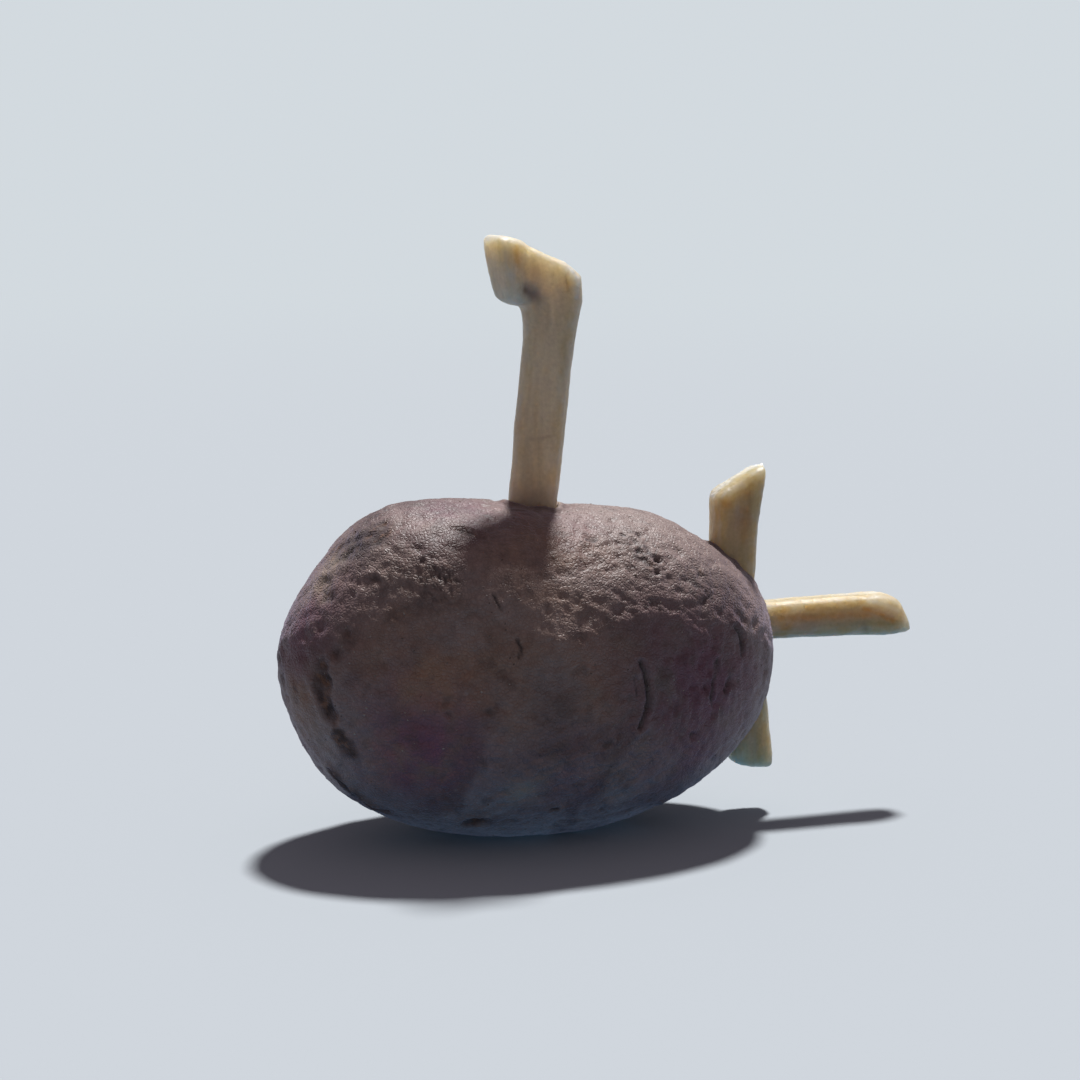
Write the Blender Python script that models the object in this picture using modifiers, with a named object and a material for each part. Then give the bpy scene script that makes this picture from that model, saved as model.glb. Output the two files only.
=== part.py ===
"""A potato submarine: one whole potato on its resting spot, with four potato fries pushed into it.

Metres, +Z up. The bow points to -X and the tail to +X. The origin is the middle of the flat resting
spot. A bent fry on the crown is the periscope, and three fries at the tail are the upper fin, the tail
and the lower fin. Each fry stands in a socket of its own, cut to its section with a small clearance.
"""

import math
from dataclasses import dataclass
from typing import NamedTuple

import bmesh
import bpy
import numpy as np
from mathutils import Matrix, Vector

OBJECT_NAME = "potato_submarine"
MM = 0.001

# The potato: its half sizes from its own middle, and the little that is flattened underneath
HALF_LENGTH = 51.1 * MM
HALF_WIDTH = 31.5 * MM
CROWN_HEIGHT = 31.9 * MM
BELLY_DEPTH = 35.0 * MM
REST_CUT = 0.7 * MM
MIDDLE_AFT_OF_REST = 0.9 * MM
SKIN_SUBDIVISIONS = 5

# How boxy each quarter of its side outline is, and its cross section: 2 is an ellipse, more is fuller
BOW_TOP_FULLNESS = 1.48
BOW_BELLY_FULLNESS = 2.32
TAIL_TOP_FULLNESS = 2.56
TAIL_BELLY_FULLNESS = 2.05
GIRTH_FULLNESS = 2.1
FULLNESS_BLEND = 0.3

# What all fries share
SOCKET_CLEARANCE = 0.3 * MM
FLESH_WALL = 1.5 * MM
FRY_EDGE_RADIUS = 1.3 * MM
FRY_SUBDIVISIONS = 1
FRY_MOUTH = 7.0 * MM

# The periscope: its section, its stem from the skin to the elbow, and how it stands
PERISCOPE_WIDTH = 10.0 * MM
PERISCOPE_THICKNESS = 9.4 * MM
PERISCOPE_STEM = 41.3 * MM
PERISCOPE_DEPTH_IN = 12.0 * MM
PERISCOPE_AFT_OF_MIDDLE = -0.1 * MM
PERISCOPE_LEAN = math.radians(5.7)
PERISCOPE_ROLL = math.radians(-20)
PERISCOPE_FLARE = 1.1
HEAD_TURN = math.radians(32)

# The upper fin
UPPER_FIN_WIDTH = 9.6 * MM
UPPER_FIN_THICKNESS = 8.2 * MM
UPPER_FIN_HEIGHT = 19.2 * MM
UPPER_FIN_FROM_TIP = 7.3 * MM
UPPER_FIN_LEAN = math.radians(2.5)
UPPER_FIN_ROLL = math.radians(-8)
UPPER_FIN_FLARE = 1.11

# The tail
TAIL_WIDTH = 8.4 * MM
TAIL_THICKNESS = 8.2 * MM
TAIL_LENGTH = 34.8 * MM
TAIL_DEPTH_IN = 10.0 * MM
TAIL_ABOVE_MIDDLE = 5.6 * MM
TAIL_BULGE = 1.15

# The lower fin
LOWER_FIN_WIDTH = 9.4 * MM
LOWER_FIN_THICKNESS = 8.0 * MM
LOWER_FIN_HEIGHT = 11.6 * MM
LOWER_FIN_DEPTH_IN = 9.0 * MM
LOWER_FIN_FROM_TIP = 3.9 * MM
LOWER_FIN_LEAN = math.radians(7)
LOWER_FIN_ROLL = math.radians(6)

MIDDLE = Vector((MIDDLE_AFT_OF_REST, 0.0, BELLY_DEPTH - REST_CUT))


class Swell(NamedTuple):
    """A broad rise of the side outline, or a hollow where its height is below zero."""

    angle: float  # degrees up from the tail: 90 is the crown and 180 the bow
    spread: float  # degrees
    height: float  # metres


class Lump(NamedTuple):
    """A soft rise of the skin round one direction, or a hollow where its height is below zero."""

    bearing: float  # degrees round the potato from above: 0 is the tail and 90 the far side
    rise: float  # degrees above the middle
    spread: float  # degrees
    height: float  # metres


SWELLS = (
    Swell(140, 29, 10.9 * MM),  # the bow's high shoulder
    Swell(31, 14, -1.9 * MM),  # the back drops away to the tail
)

LUMPS = (
    Lump(105, 12, 26, 1.3 * MM),  # a shoulder on the far side
    Lump(62, -24, 20, -1.1 * MM),  # and a shallow hollow beside it
    Lump(-118, -18, 22, 0.7 * MM),  # the near side is fullest towards the bow
    Lump(-62, 6, 20, -0.6 * MM),
)


class Ring(NamedTuple):
    """A section of a fry in its own frame, whose +Z runs out along the fry from the skin."""

    centre: Vector
    across: Vector  # from the centre to the +X edge
    deep: Vector  # from the centre to the +Y face


@dataclass(frozen=True)
class Fry:
    """One strip of potato: where it meets the skin, how it stands, and its sections from foot to end."""

    name: str
    root: Vector
    tilt: float
    roll: float
    rings: tuple

    def placement(self):
        """The fry's own frame: tilted about Y from straight up, and rolled about its length."""
        turn = Matrix.Rotation(self.tilt, 4, "Y") @ Matrix.Rotation(self.roll, 4, "Z")
        return Matrix.Translation(self.root) @ turn


# The potato's skin


def blend(value):
    """0 on the minus side, 1 on the plus side, and smooth between them."""
    return 0.5 + 0.5 * np.tanh(value / FULLNESS_BLEND)


def side_outline(angle):
    """Distance from the middle to the outline in the middle plane, at each angle up from the tail."""
    aft, up = np.cos(angle), np.sin(angle)
    top = blend(up)
    bow = top * BOW_TOP_FULLNESS + (1 - top) * BOW_BELLY_FULLNESS
    tail = top * TAIL_TOP_FULLNESS + (1 - top) * TAIL_BELLY_FULLNESS
    fullness = bow + (tail - bow) * blend(aft)
    half_height = np.where(up > 0, CROWN_HEIGHT, BELLY_DEPTH)
    long_share = np.abs(aft / HALF_LENGTH) ** fullness
    outline = (long_share + np.abs(up / half_height) ** fullness) ** (-1 / fullness)
    for swell in SWELLS:
        away = np.degrees(angle) - swell.angle
        away = (away + 180) % 360 - 180
        outline = outline + swell.height * np.exp(-((away / swell.spread) ** 2))
    return outline


def skin_radius(way):
    """Distance from the potato's middle to its skin, along each unit vector of an (n, 3) array."""
    x, y, z = way.T
    outline = side_outline(np.arctan2(z, x))
    girth = (np.hypot(x, z) / outline) ** GIRTH_FULLNESS + np.abs(y / HALF_WIDTH) ** GIRTH_FULLNESS
    radius = girth ** (-1 / GIRTH_FULLNESS)
    for lump in LUMPS:
        bearing, rise = math.radians(lump.bearing), math.radians(lump.rise)
        flat = math.cos(rise)
        axis = np.array([flat * math.cos(bearing), flat * math.sin(bearing), math.sin(rise)])
        off_axis = np.degrees(np.arccos(np.clip(way @ axis, -1, 1)))
        radius = radius + lump.height * np.exp(-((off_axis / lump.spread) ** 2))
    return radius


def skin_point(angle):
    """The skin in the middle plane, at an angle up from the tail: 90 degrees is the crown."""
    way = Vector((math.cos(angle), 0.0, math.sin(angle)))
    return MIDDLE + way * float(skin_radius(np.array([way]))[0])


def skin_where(axis, target, low, high):
    """The point of the middle plane's outline whose coordinate is the target, by halving the angle."""
    low, high = math.radians(low), math.radians(high)
    rising = skin_point(high)[axis] > skin_point(low)[axis]
    for _ in range(50):
        angle = (low + high) / 2
        if (skin_point(angle)[axis] < target) == rising:
            low = angle
        else:
            high = angle
    return skin_point(low)


# The fries


def straight(height, width, thickness, shift=0.0):
    """A section square to the fry, at a height above the skin."""
    return Ring(
        Vector((shift, 0.0, height)),
        Vector((width / 2, 0.0, 0.0)),
        Vector((0.0, thickness / 2, 0.0)),
    )


def periscope():
    """A straight stem, an elbow, and a head that turns to the bow and to the near side."""
    width, thick, top = PERISCOPE_WIDTH, PERISCOPE_THICKNESS, PERISCOPE_STEM
    wide = width * PERISCOPE_FLARE
    elbow = Vector((0.0, 0.0, top))
    half_thick = thick / 2
    half_turn = Vector((-math.sin(HEAD_TURN / 2), math.cos(HEAD_TURN / 2), 0.0))
    full_turn = Vector((-math.sin(HEAD_TURN), math.cos(HEAD_TURN), 0.0))
    rings = (
        straight(-PERISCOPE_DEPTH_IN, width, thick),
        straight(0.0, width, thick),
        straight(FRY_MOUTH, width, thick),
        straight(0.5 * top, (width + wide) / 2, thick),
        straight(top - 0.62 * wide, 0.90 * wide, thick, 0.01 * wide),
        Ring(
            elbow + Vector((0.09, 0.0, 0.11)) * wide,
            Vector((0.62, 0.0, 0.51)) * wide,
            Vector((0.0, half_thick, 0.0)),
        ),
        Ring(
            elbow + Vector((-0.42, 0.0, 0.26)) * wide,
            Vector((0.08, 0.0, 0.48)) * wide,
            half_turn * half_thick * 1.06,
        ),
        Ring(
            elbow + Vector((-0.68, -0.18, 0.39)) * wide,
            Vector((-0.06, 0.0, 0.62)) * wide,
            full_turn * half_thick,
        ),
        Ring(
            elbow + Vector((-1.08, -0.44, 0.43)) * wide,
            Vector((-0.20, 0.0, 0.61)) * wide,
            full_turn * half_thick * 1.05,
        ),
    )
    root = skin_where(0, MIDDLE.x + PERISCOPE_AFT_OF_MIDDLE, 45, 135)
    return Fry("periscope_fry", root, PERISCOPE_LEAN, PERISCOPE_ROLL, rings)


def tail():
    """A strip that points straight aft, thicker towards its slanted end."""
    width, thick, length = TAIL_WIDTH, TAIL_THICKNESS, TAIL_LENGTH
    stout = thick * TAIL_BULGE
    rings = (
        straight(-TAIL_DEPTH_IN, thick, width),
        straight(0.0, thick, width),
        straight(FRY_MOUTH, thick, width),
        straight(0.6 * length, (thick + stout) / 2, width),
        straight(0.78 * length, stout, width * 1.04, 0.02 * thick),
        Ring(
            Vector((0.07 * thick, 0.0, 0.955 * length)),
            Vector((0.48 * thick, 0.0, 0.055 * length)),
            Vector((0.0, 0.46 * width, 0.0)),
        ),
    )
    root = skin_where(2, MIDDLE.z + TAIL_ABOVE_MIDDLE, -30, 50)
    return Fry("tail_fry", root, math.radians(90), 0.0, rings)


def upper_fin():
    """A strip with a slanted end, whose foot stops one flesh wall above the tail's socket."""
    width, thick, height = UPPER_FIN_WIDTH, UPPER_FIN_THICKNESS, UPPER_FIN_HEIGHT
    wide = width * UPPER_FIN_FLARE
    root = skin_where(0, MIDDLE.x + HALF_LENGTH - UPPER_FIN_FROM_TIP, 5, 80)
    tail_socket_top = MIDDLE.z + TAIL_ABOVE_MIDDLE + TAIL_THICKNESS / 2 + SOCKET_CLEARANCE
    foot = (tail_socket_top + FLESH_WALL + SOCKET_CLEARANCE - root.z) / math.cos(UPPER_FIN_LEAN)
    foot += width / 2 * math.sin(UPPER_FIN_LEAN)
    rings = (
        straight(foot, width, thick),
        straight(0.0, width, thick),
        straight(FRY_MOUTH, width, thick),
        straight(0.62 * height, wide, thick, 0.01 * width),
        Ring(
            Vector((0.05 * width, 0.0, 0.93 * height)),
            Vector((0.55 * wide, 0.0, 0.33 * wide)),
            Vector((0.0, 0.5 * thick, 0.03 * thick)),
        ),
    )
    return Fry("upper_fin_fry", root, UPPER_FIN_LEAN, UPPER_FIN_ROLL, rings)


def lower_fin():
    """A short strip that points down, leaning aft, with a rounded end."""
    width, thick, height = LOWER_FIN_WIDTH, LOWER_FIN_THICKNESS, LOWER_FIN_HEIGHT
    root = skin_where(0, MIDDLE.x + HALF_LENGTH - LOWER_FIN_FROM_TIP, -80, -5)
    rings = (
        straight(-LOWER_FIN_DEPTH_IN, width, thick),
        straight(0.0, width, thick),
        straight(FRY_MOUTH, width, thick),
        Ring(
            Vector((0.0, 0.0, 0.96 * height)),
            Vector((0.5 * width, 0.0, -0.14 * width)),
            Vector((0.0, 0.46 * thick, 0.0)),
        ),
    )
    return Fry("lower_fin_fry", root, math.radians(180) - LOWER_FIN_LEAN, LOWER_FIN_ROLL, rings)


def grown(ring, clearance, along=0.0):
    """The same section, wider all round by the clearance and moved along the fry."""
    return Ring(
        ring.centre + Vector((0.0, 0.0, along)),
        ring.across + ring.across.normalized() * clearance,
        ring.deep + ring.deep.normalized() * clearance,
    )


def socket_rings(fry):
    """The fry's foot, its sections at the skin and at the mouth, and one well clear of the skin."""
    foot, skin, mouth = fry.rings[:3]
    return (
        grown(foot, SOCKET_CLEARANCE, -SOCKET_CLEARANCE),
        grown(skin, SOCKET_CLEARANCE),
        grown(mouth, SOCKET_CLEARANCE),
        grown(mouth, SOCKET_CLEARANCE, FRY_MOUTH),
    )


# Meshes


def set_ring(verts, ring):
    """Moves four corners, kept in their order round the strip, to a ring."""
    for vert, (side, face) in zip(verts, ((-1, -1), (1, -1), (1, 1), (-1, 1))):
        vert.co = ring.centre + ring.across * side + ring.deep * face


def corners_in_order(face):
    """A square face's corners, by the quarter of the section that each is in."""
    order = {(False, False): 0, (True, False): 1, (True, True): 2, (False, True): 3}
    return sorted(face.verts, key=lambda v: order[(v.co.x > 0, v.co.y > 0)])


def strip_cage(rings):
    """A cube stretched over the first two rings, and extruded from ring to ring after that."""
    cage = bmesh.new()
    bmesh.ops.create_cube(cage, size=1.0)
    foot = min(cage.faces, key=lambda f: f.calc_center_median().z)
    top = max(cage.faces, key=lambda f: f.calc_center_median().z)
    sections = [corners_in_order(foot), corners_in_order(top)]
    set_ring(sections[0], rings[0])
    set_ring(sections[1], rings[1])
    for ring in rings[2:]:
        before = [v.co.copy() for v in sections[-1]]
        top = bmesh.ops.extrude_discrete_faces(cage, faces=[top])["faces"][0]
        sections.append([min(top.verts, key=lambda v, at=at: (v.co - at).length) for at in before])
        set_ring(sections[-1], ring)
    mark_round_edges(cage, sections)
    bmesh.ops.recalc_face_normals(cage, faces=cage.faces)
    return cage


def mark_round_edges(cage, sections):
    """Gives the bevel the strip's long edges and the edges of its two cut ends."""
    section_of = {vert: number for number, corners in enumerate(sections) for vert in corners}
    weight = cage.edges.layers.float.new("bevel_weight_edge")
    for edge in cage.edges:
        first, second = (section_of[vert] for vert in edge.verts)
        if first != second or first in (0, len(sections) - 1):
            edge[weight] = 1.0


def new_object(name, mesh, collection):
    """A new object for a mesh, in one of the two collections."""
    made = bpy.data.objects.new(name, mesh)
    collection.objects.link(made)
    return made


def strip_object(name, fry, rings, collection):
    """A strip of potato: a coarse cage, its edges bevelled, under a subdivision surface."""
    mesh = bpy.data.meshes.new(name)
    cage = strip_cage(rings)
    cage.to_mesh(mesh)
    cage.free()
    mesh.shade_smooth()
    made = new_object(name, mesh, collection)
    made.matrix_world = fry.placement()
    edges = made.modifiers.new("edges", "BEVEL")
    edges.limit_method = "WEIGHT"
    edges.width = FRY_EDGE_RADIUS
    edges.segments = 1
    edges.use_clamp_overlap = False
    smooth = made.modifiers.new("rounding", "SUBSURF")
    smooth.levels = FRY_SUBDIVISIONS
    smooth.render_levels = FRY_SUBDIVISIONS
    return made


def potato_object(collection):
    """The whole potato: a fine ball drawn out to the skin's shape."""
    bpy.ops.mesh.primitive_ico_sphere_add(subdivisions=SKIN_SUBDIVISIONS, radius=1.0)
    potato = bpy.context.active_object
    potato.name = "potato"
    potato.data.name = "potato"
    for other in potato.users_collection:
        other.objects.unlink(potato)
    collection.objects.link(potato)
    mesh = potato.data
    way = np.array([v.co.normalized() for v in mesh.vertices])
    skin = way * skin_radius(way)[:, None]
    mesh.vertices.foreach_set("co", skin.ravel())
    mesh.update()
    mesh.shade_smooth()
    potato.location = MIDDLE
    return potato


def rest_cutter(collection):
    """A block whose top is the plane that the potato rests on."""
    size = 2 * HALF_LENGTH
    bpy.ops.mesh.primitive_cube_add(size=size, location=(0.0, 0.0, -size / 2))
    block = bpy.context.active_object
    block.name = "rest_cutter"
    for other in block.users_collection:
        other.objects.unlink(block)
    collection.objects.link(block)
    return block


def cut(piece, cutter):
    """Cuts one object by another, and hides the cutter from the finished model."""
    cutter.hide_render = True
    cutter.display_type = "WIRE"
    boolean = piece.modifiers.new(cutter.name, "BOOLEAN")
    boolean.operation = "DIFFERENCE"
    boolean.solver = "EXACT"
    boolean.object = cutter


def finish(piece, colour, roughness):
    """Gives an object its own material."""
    material = bpy.data.materials.new(piece.name)
    material.use_nodes = True
    shader = material.node_tree.nodes["Principled BSDF"]
    shader.inputs["Base Color"].default_value = (*colour, 1.0)
    shader.inputs["Roughness"].default_value = roughness
    shader.inputs["Metallic"].default_value = 0.0
    material.diffuse_color = (*colour, 1.0)
    piece.data.materials.clear()
    piece.data.materials.append(material)


def clear_scene():
    """Removes every object, so that the model starts from nothing."""
    for item in list(bpy.data.objects):
        bpy.data.objects.remove(item)


def main():
    """Builds the potato, then each fry with its socket."""
    clear_scene()
    parts = bpy.data.collections.new(OBJECT_NAME)
    cutters = bpy.data.collections.new("cutters")
    bpy.context.scene.collection.children.link(parts)
    bpy.context.scene.collection.children.link(cutters)
    potato = potato_object(parts)
    finish(potato, (0.16, 0.10, 0.085), 0.5)
    cut(potato, rest_cutter(cutters))
    for fry, colour in (
        (periscope(), (0.58, 0.45, 0.25)),
        (upper_fin(), (0.60, 0.45, 0.22)),
        (tail(), (0.62, 0.46, 0.21)),
        (lower_fin(), (0.56, 0.44, 0.24)),
    ):
        strip = strip_object(fry.name, fry, fry.rings, parts)
        finish(strip, colour, 0.45)
        cut(potato, strip_object(fry.name + "_socket", fry, socket_rings(fry), cutters))


main()
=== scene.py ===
"""A potato submarine on a pale table: a weathered potato with four potato fries pushed into it.

Metres, +Z up, the bow towards -X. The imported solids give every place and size. The potato's skin is
rebuilt finely and sculpted with its eyes, scabs, cracks and pits, and each fry is rebuilt with a soft
cooked surface, crusted edges and its own marks.
"""

import logging
import math
from dataclasses import dataclass, field
from enum import Enum
from itertools import product

import bmesh
import bpy
import numpy as np
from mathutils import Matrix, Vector
from mathutils.bvhtree import BVHTree
from numpy.polynomial.chebyshev import chebvander2d

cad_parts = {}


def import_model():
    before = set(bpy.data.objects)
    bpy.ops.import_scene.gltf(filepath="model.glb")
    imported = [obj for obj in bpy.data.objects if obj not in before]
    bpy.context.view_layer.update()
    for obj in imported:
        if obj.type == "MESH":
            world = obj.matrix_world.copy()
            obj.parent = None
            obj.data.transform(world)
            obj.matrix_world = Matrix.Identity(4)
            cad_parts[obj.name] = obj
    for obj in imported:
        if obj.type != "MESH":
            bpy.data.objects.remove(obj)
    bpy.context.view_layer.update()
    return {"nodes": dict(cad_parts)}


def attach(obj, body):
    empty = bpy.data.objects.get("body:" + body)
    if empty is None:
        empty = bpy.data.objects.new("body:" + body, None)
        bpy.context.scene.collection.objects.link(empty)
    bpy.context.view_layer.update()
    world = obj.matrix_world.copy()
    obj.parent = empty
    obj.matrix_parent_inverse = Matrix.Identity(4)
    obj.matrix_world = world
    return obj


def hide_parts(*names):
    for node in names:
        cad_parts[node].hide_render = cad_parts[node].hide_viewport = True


MM = 0.001
BODY = "root"
CELL_CORNERS = tuple(product((0, 1), repeat=3))
# How far inside the fitted skin a vertex may lie, round by round, before it counts as a socket's wall
WALL_SLACKS = (3 * MM, 1 * MM, 0.4 * MM, 0.25 * MM)

Triple = tuple[float, float, float]
Colour = Triple
BLACK: Colour = (0.0, 0.0, 0.0)

log = logging.getLogger("potato_submarine")


class Slot(Enum):
    """The record's two material slots."""

    SKIN = "potato_skin"
    FLESH = "fry_flesh"


class Tone(Enum):
    """What a spot of skin or flesh is coloured by, kept as an attribute of each mesh."""

    SCAB = "scab"
    # Soil in the skin's pits and cracks, stains on the fries, and painted shade in the periscope's crease
    # and round its foot
    DIRT_AND_SHADE = "dirt"
    PALE = "pale"
    PURPLE = "purple"
    WARM = "warm"
    GOLD = "gold"
    BARE = "bare"


# Number helpers


def smooth_step(value: np.ndarray, low: float, high: float) -> np.ndarray:
    """Eases from 0 at low to 1 at high.

    Args:
        value: The numbers to ease.
        low: Where the result is 0.
        high: Where the result is 1. It may be below low.

    Returns:
        The eased numbers, from 0 to 1.
    """
    share = np.clip((value - low) / (high - low), 0.0, 1.0)
    return share * share * (3.0 - 2.0 * share)


def hill(distance: np.ndarray, width: float) -> np.ndarray:
    """A soft hill, 1 high in the middle and about a third high one width away."""
    return np.exp(-((distance / width) ** 2))


def gradient_noise(points: np.ndarray, seed: int) -> np.ndarray:
    """Smooth random values on a unit lattice.

    Args:
        points: The places, an (n, 3) array in lattice cells.
        seed: Which of the random lattices to read.

    Returns:
        One value for each point, mostly from -1 to 1.
    """
    base = np.floor(points).astype(np.int64)
    part = points - base
    ease = part**3 * (part * (part * 6.0 - 15.0) + 10.0)
    total = np.zeros(len(points))
    for corner in CELL_CORNERS:
        cell = base + np.array(corner)
        code = cell[:, 0] * 374761393 + cell[:, 1] * 668265263 + cell[:, 2] * 2246822519
        code = (code + seed * 3266489917) & 0xFFFFFFFF
        code = ((code ^ (code >> 15)) * 2246822519) & 0xFFFFFFFF
        code = ((code ^ (code >> 13)) * 3266489917) & 0xFFFFFFFF
        code ^= code >> 16
        slope = np.stack([(code >> shift) & 0x3FF for shift in (0, 10, 20)], axis=1) / 511.5 - 1.0
        offset = part - np.array(corner)
        weight = np.prod(np.where(np.array(corner) == 1, ease, 1.0 - ease), axis=1)
        total += weight * np.einsum("ij,ij->i", slope, offset)
    return total * 1.5


@dataclass(frozen=True)
class Grain:
    """Random unevenness of one scale, with finer layers on top."""

    cell: float
    seed: int
    layers: int = 1
    stretch: Triple = (1.0, 1.0, 1.0)

    def at(self, points: np.ndarray) -> np.ndarray:
        """Reads the unevenness at places.

        Args:
            points: The places, an (n, 3) array in metres.

        Returns:
            One value for each place, mostly from -1 to 1.
        """
        scaled = points / (np.array(self.stretch) * self.cell)
        total, share, whole = np.zeros(len(points)), 1.0, 0.0
        for layer in range(self.layers):
            total += share * gradient_noise(scaled * 2.0**layer, self.seed + layer)
            whole += share
            share *= 0.5
        return total / whole

    def ridges(self, points: np.ndarray) -> np.ndarray:
        """Thin winding ridges: 1 along their crests, falling towards -1."""
        return 1.0 - 4.0 * np.abs(self.at(points))


def distance_to_path(points: np.ndarray, path: np.ndarray) -> np.ndarray:
    """Distance from each point to a chain of straight pieces.

    Args:
        points: An (n, 3) array.
        path: The chain's corners, an (m, 3) array.

    Returns:
        The n distances.
    """
    best = np.full(len(points), np.inf)
    if len(path) == 1:
        return np.linalg.norm(points - path[0], axis=1)
    for start, end in zip(path[:-1], path[1:]):
        along = end - start
        share = np.clip((points - start) @ along / (along @ along), 0.0, 1.0)
        best = np.minimum(best, np.linalg.norm(points - start - share[:, None] * along, axis=1))
    return best


# Mesh helpers


def coordinates(mesh: bpy.types.Mesh) -> np.ndarray:
    """Reads where a mesh's vertices are.

    Args:
        mesh: The mesh.

    Returns:
        Their places, an (n, 3) array.
    """
    flat = np.empty(len(mesh.vertices) * 3)
    mesh.vertices.foreach_get("co", flat)
    return flat.reshape(-1, 3)


def normals(mesh: bpy.types.Mesh) -> np.ndarray:
    """Reads which way a mesh's vertices face.

    Args:
        mesh: The mesh.

    Returns:
        Their normals, an (n, 3) array.
    """
    flat = np.empty(len(mesh.vertices) * 3, np.float32)
    mesh.vertex_normals.foreach_get("vector", flat)
    return flat.reshape(-1, 3).astype(float)


def place_vertices(mesh: bpy.types.Mesh, places: np.ndarray) -> None:
    """Moves a mesh's vertices to new places."""
    mesh.vertices.foreach_set("co", np.ascontiguousarray(places).ravel())
    mesh.update()


def paint(mesh: bpy.types.Mesh, tone: Tone, values: np.ndarray) -> None:
    """Keeps one number for each vertex on a mesh, for its finish to read.

    Args:
        mesh: The mesh.
        tone: What the numbers mean, which names the attribute.
        values: One number for each vertex, from 0 to 1.
    """
    known = mesh.attributes.get(tone.value)
    layer = known or mesh.attributes.new(tone.value, "FLOAT", "POINT")
    layer.data.foreach_set("value", np.clip(values, 0.0, 1.0).astype(np.float32))


def merged_copy(node: bpy.types.Object, name: str) -> bpy.types.Mesh:
    """Copies a solid's mesh and joins its loose triangles.

    Args:
        node: The solid as packed.
        name: The new mesh's name.

    Returns:
        A closed mesh.
    """
    mesh = bpy.data.meshes.new(name)
    work = bmesh.new()
    work.from_mesh(node.data)
    bmesh.ops.remove_doubles(work, verts=work.verts, dist=1e-6)
    bmesh.ops.recalc_face_normals(work, faces=work.faces)
    work.to_mesh(mesh)
    work.free()
    return mesh


def link(name: str, mesh: bpy.types.Mesh) -> bpy.types.Object:
    """Puts a mesh in the scene as an object at the origin.

    Args:
        name: The object's name.
        mesh: The mesh.

    Returns:
        The object.
    """
    made = bpy.data.objects.new(name, mesh)
    bpy.context.scene.collection.objects.link(made)
    return made


def bake_modifiers(piece: bpy.types.Object) -> None:
    """Replaces a piece's mesh by what its modifiers make of it, and removes them.

    Args:
        piece: The piece, which takes the new mesh.
    """
    graph = bpy.context.evaluated_depsgraph_get()
    graph.update()
    result = bpy.data.meshes.new_from_object(piece.evaluated_get(graph))
    piece.modifiers.clear()
    piece.data = result


def tree_of(mesh: bpy.types.Mesh) -> BVHTree:
    """A search tree over a mesh's faces."""
    faces = [tuple(face.vertices) for face in mesh.polygons]
    return BVHTree.FromPolygons([v.co.copy() for v in mesh.vertices], faces)


def settle(mesh: bpy.types.Mesh, rounds: int, strength: float) -> None:
    """Relaxes a mesh: each vertex moves towards the middle of its neighbours.

    Args:
        mesh: The mesh.
        rounds: How many times.
        strength: The share of the way that a vertex moves each time.
    """
    ends = np.empty(len(mesh.edges) * 2, np.int64)
    mesh.edges.foreach_get("vertices", ends)
    first, second = ends.reshape(-1, 2).T
    places = coordinates(mesh)
    count = np.bincount(ends, minlength=len(places))[:, None]
    for _ in range(rounds):
        total = np.zeros_like(places)
        np.add.at(total, first, places[second])
        np.add.at(total, second, places[first])
        places += strength * (total / count - places)
    place_vertices(mesh, places)


# Finishes


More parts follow.
